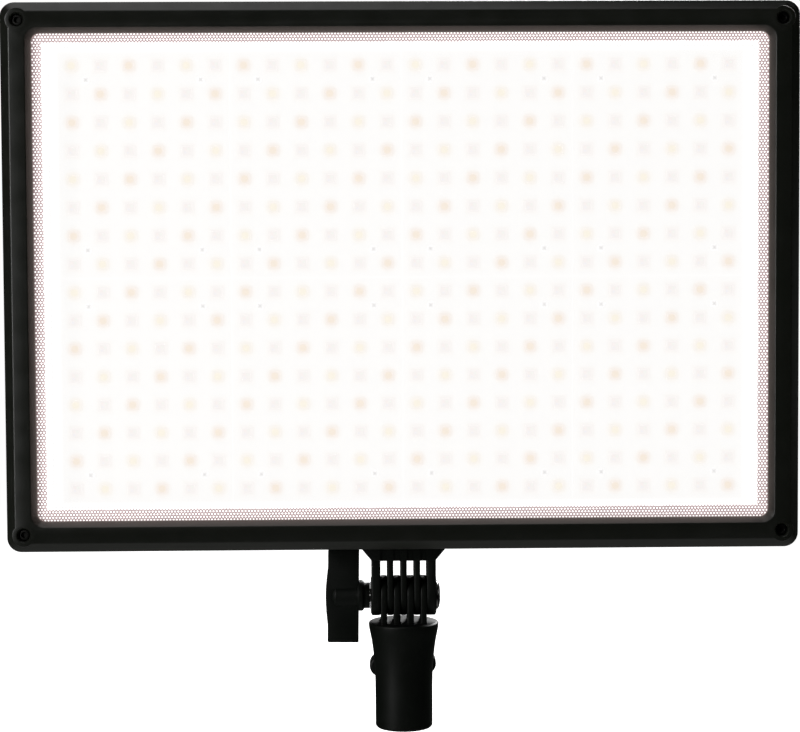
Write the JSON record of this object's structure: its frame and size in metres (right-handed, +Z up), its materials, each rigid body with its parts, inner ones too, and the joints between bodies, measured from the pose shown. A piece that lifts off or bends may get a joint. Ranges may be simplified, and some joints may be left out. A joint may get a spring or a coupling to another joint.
{
  "type": "led panel light",
  "caption": "Rectangular LED panel light with a microlens diffuser in a black bezel, on a tilting finger clamp with a tee knob and a stand socket.",
  "frame": {"origin": "centre of the stand socket's mouth", "axes": "+Z up the socket's axis, -Y the way the light shines, +X to the right of someone looking at the lit face"},
  "size_m": [0.3594, 0.057, 0.3329],
  "materials": {
    "black_plastic": "fine moulded texture, satin black with a slight green cast",
    "black_nylon": "glass-filled nylon, semi-matt black",
    "soft_knob": "soft matt black",
    "microlens_sheet": "clear-white sheet moulded with hexagonal microlenses",
    "black_foam": "matt foam",
    "grey_baffle": "matt warm grey",
    "white_board": "white solder mask",
    "aluminium": "white-coated sheet",
    "green_board": "green solder mask",
    "black_component": "moulded black",
    "display_glass": "dark smoked window",
    "steel": "zinc-plated steel",
    "brass": "machined brass",
    "wire_sleeve": "matt sleeve"
  },
  "bodies": {
    "stand_receiver": {"stand_receiver": "black_nylon", "lock_insert": "brass"},
    "lamp_head": {"front_bezel": "black_plastic", "rear_housing": "black_plastic", "control_panel": "black_plastic", "battery_plate_left": "black_plastic", "battery_plate_right": "black_plastic", "tilt_foot": "black_nylon", "diffuser_panel": "microlens_sheet", "diffuser_gasket": "black_foam", "baffle_frame": "grey_baffle", "led_board_1": "white_board", "led_board_2": "white_board", "led_board_3": "white_board", "led_board_4": "white_board", "led_board_5": "white_board", "led_board_6": "white_board", "led_board_7": "white_board", "led_board_8": "white_board", "heat_spreader": "aluminium", "driver_board": "green_board", "control_board": "green_board", "display_module": "black_component", "dc_socket": "black_component", "power_switch_frame": "black_component", "display_window": "display_glass", "bezel_screw_1": "steel", "bezel_screw_2": "steel", "bezel_screw_3": "steel", "bezel_screw_4": "steel", "foot_screw_1": "steel", "foot_screw_2": "steel", "foot_plate": "steel", "clamp_bolt": "steel", "dimmer_encoder": "steel", "colour_encoder": "steel", "latch_spring_left": "steel", "latch_spring_right": "steel", "battery_contacts_left": "brass", "battery_contacts_right": "brass", "control_lead": "wire_sleeve", "power_lead": "wire_sleeve", "battery_lead_left": "wire_sleeve", "battery_lead_right": "wire_sleeve"},
    "lock_pad": {"lock_pad": "brass"},
    "lock_knob": {"lock_knob": "black_nylon", "lock_screw": "steel"},
    "clamp_washer": {"clamp_washer": "steel"},
    "tilt_knob": {"tilt_knob": "black_nylon", "tilt_knob_insert": "brass"},
    "dimmer_knob": {"dimmer_knob": "soft_knob", "dimmer_shaft": "steel"},
    "colour_knob": {"colour_knob": "soft_knob", "colour_shaft": "steel"},
    "mode_button": {"mode_button": "soft_knob"},
    "effect_button": {"effect_button": "soft_knob"},
    "power_rocker": {"power_rocker": "soft_knob"},
    "battery_latch_left": {"battery_latch_left": "soft_knob"},
    "battery_latch_right": {"battery_latch_right": "soft_knob"}
  },
  "joints": [
    {"name": "tilt", "type": "hinge", "parent": "stand_receiver", "child": "lamp_head", "pos_m": [0, 0, 0.0615], "axis": [1, 0, 0], "range_deg": [-90, 90]},
    {"name": "clamp_washer_slide", "type": "slide", "parent": "lamp_head", "child": "clamp_washer", "axis": [-1, 0, 0], "range_m": [0, 0.002]},
    {"name": "tilt_knob_turn", "type": "hinge", "parent": "clamp_washer", "child": "tilt_knob", "pos_m": [-0.017, 0, 0.0615], "axis": [-1, 0, 0], "range_deg": [0, 720]},
    {"name": "lock_pad_slide", "type": "slide", "parent": "stand_receiver", "child": "lock_pad", "axis": [0, 1, 0], "range_m": [-0.0012, 0.0008]},
    {"name": "lock_knob_turn", "type": "hinge", "parent": "lock_pad", "child": "lock_knob", "pos_m": [0, 0.02, 0.024], "axis": [0, 1, 0], "range_deg": [-540, 360]},
    {"name": "dimmer_turn", "type": "hinge", "parent": "lamp_head", "child": "dimmer_knob", "pos_m": [-0.045, 0.017, 0.2193], "axis": [0, 1, 0], "continuous": true},
    {"name": "colour_turn", "type": "hinge", "parent": "lamp_head", "child": "colour_knob", "pos_m": [0.045, 0.017, 0.2193], "axis": [0, 1, 0], "continuous": true},
    {"name": "mode_press", "type": "slide", "parent": "lamp_head", "child": "mode_button", "axis": [0, -1, 0], "range_m": [0, 0.0008], "stiffness_N_per_m": 1200, "springref_m": -0.0004},
    {"name": "effect_press", "type": "slide", "parent": "lamp_head", "child": "effect_button", "axis": [0, -1, 0], "range_m": [0, 0.0008], "stiffness_N_per_m": 1200, "springref_m": -0.0004},
    {"name": "power_switch", "type": "hinge", "parent": "lamp_head", "child": "power_rocker", "pos_m": [0.03, 0.011, 0.1593], "axis": [1, 0, 0], "range_deg": [-16, 0]},
    {"name": "latch_left_press", "type": "slide", "parent": "lamp_head", "child": "battery_latch_left", "axis": [0, -1, 0], "range_m": [0, 0.0022], "stiffness_N_per_m": 900, "springref_m": -0.001, "deforming": ["latch_spring_left"]},
    {"name": "latch_right_press", "type": "slide", "parent": "lamp_head", "child": "battery_latch_right", "axis": [0, -1, 0], "range_m": [0, 0.0022], "stiffness_N_per_m": 900, "springref_m": -0.001, "deforming": ["latch_spring_right"]}
  ],
  "couplings": [
    {"joint": "clamp_washer_slide", "follows": "tilt_knob_turn", "m_per_rad": 0.00015915},
    {"joint": "lock_pad_slide", "follows": "lock_knob_turn", "m_per_rad": 0.00012732}
  ]
}
